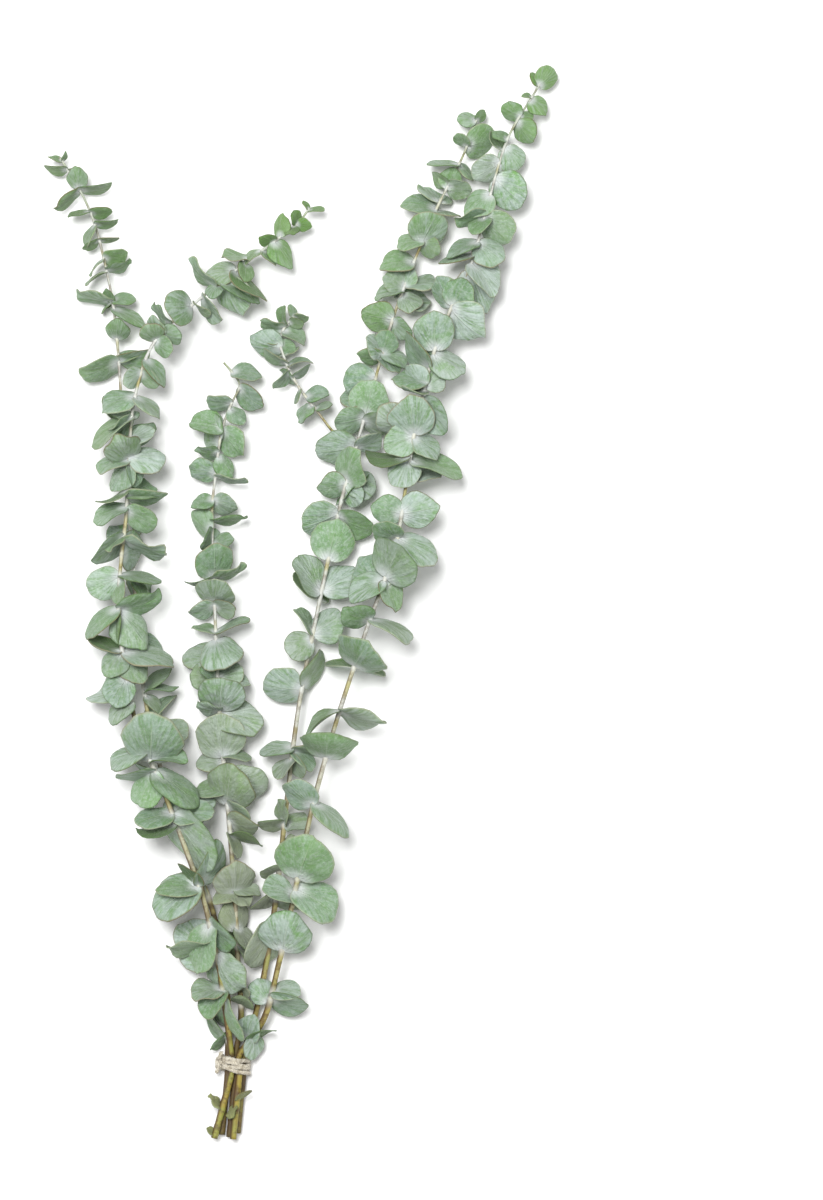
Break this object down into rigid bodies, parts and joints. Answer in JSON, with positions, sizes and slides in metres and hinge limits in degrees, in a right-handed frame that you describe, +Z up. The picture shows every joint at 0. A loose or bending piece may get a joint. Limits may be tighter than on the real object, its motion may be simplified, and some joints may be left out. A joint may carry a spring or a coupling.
{
  "type": "eucalyptus branch",
  "caption": "Tied bunch of leafy eucalyptus stems with round, stalkless leaves in opposite pairs, held near the cut ends by turns of twine, lying on its side.",
  "frame": {"origin": "on the surface that the bunch lies on, under the centre of its bounding box", "axes": "+Y from the cut ends to the tips, +Z up from the surface, +X to the right seen from above with the tips at the top"},
  "size_m": [0.3522, 0.735, 0.0714],
  "materials": {
    "leafy_stem_right_front": "waxy bloom",
    "leafy_stem_left_front": "waxy bloom",
    "leafy_stem_right_back": "waxy bloom",
    "leafy_stem_middle": "waxy bloom",
    "leafy_stem_left_back": "waxy bloom",
    "twine_tie": "coarse"
  },
  "bodies": {
    "root": {"leafy_stem_right_front": "leafy_stem_right_front", "leafy_stem_left_front": "leafy_stem_left_front", "leafy_stem_right_back": "leafy_stem_right_back", "leafy_stem_middle": "leafy_stem_middle", "leafy_stem_left_back": "leafy_stem_left_back", "twine_tie": "twine_tie"}
  },
  "joints": []
}
